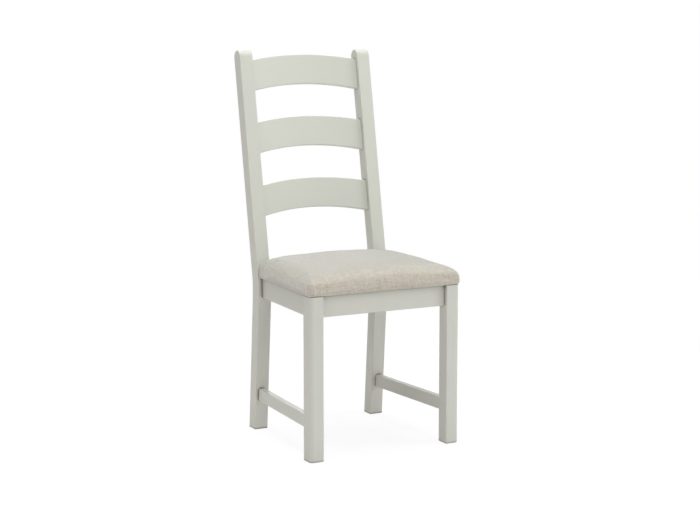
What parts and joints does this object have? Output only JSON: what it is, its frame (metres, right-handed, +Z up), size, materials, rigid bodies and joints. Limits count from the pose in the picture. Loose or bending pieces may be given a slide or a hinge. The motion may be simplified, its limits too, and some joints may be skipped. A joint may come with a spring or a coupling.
{
  "type": "ladderback dining chair",
  "caption": "Painted ladderback dining chair with arched, backward bowed slats, side stretchers and a crowned padded seat in woven fabric.",
  "frame": {"origin": "on the floor, under the middle of the chair's width and depth", "axes": "+X to the right of a viewer who faces the front, +Y from the front to the back, +Z up"},
  "size_m": [0.4586, 0.5129, 1.05],
  "materials": {
    "painted_wood": "light grey-green satin paint on wood",
    "plain_wood": "bare hardwood",
    "plywood": "bare plywood",
    "foam": "seat foam",
    "seat_fabric": "woven oatmeal cloth with slubs",
    "dust_cloth": "thin non-woven cloth",
    "steel": "zinc plated"
  },
  "bodies": {
    "root": {"front_leg_left": "painted_wood", "front_leg_right": "painted_wood", "rear_post_left": "painted_wood", "rear_post_right": "painted_wood", "lower_slat": "painted_wood", "middle_slat": "painted_wood", "top_slat": "painted_wood", "front_seat_rail": "painted_wood", "back_seat_rail": "painted_wood", "side_seat_rail_left": "painted_wood", "side_seat_rail_right": "painted_wood", "side_stretcher_left": "painted_wood", "side_stretcher_right": "painted_wood", "front_corner_block_left": "plain_wood", "front_corner_block_right": "plain_wood", "rear_corner_block_left": "plain_wood", "rear_corner_block_right": "plain_wood", "rail_dowels": "plain_wood", "corner_block_screws": "steel", "seat_screws": "steel", "cover_staples": "steel", "seat_board": "plywood", "seat_foam": "foam", "seat_cover": "seat_fabric", "dust_cover": "dust_cloth"}
  },
  "joints": []
}
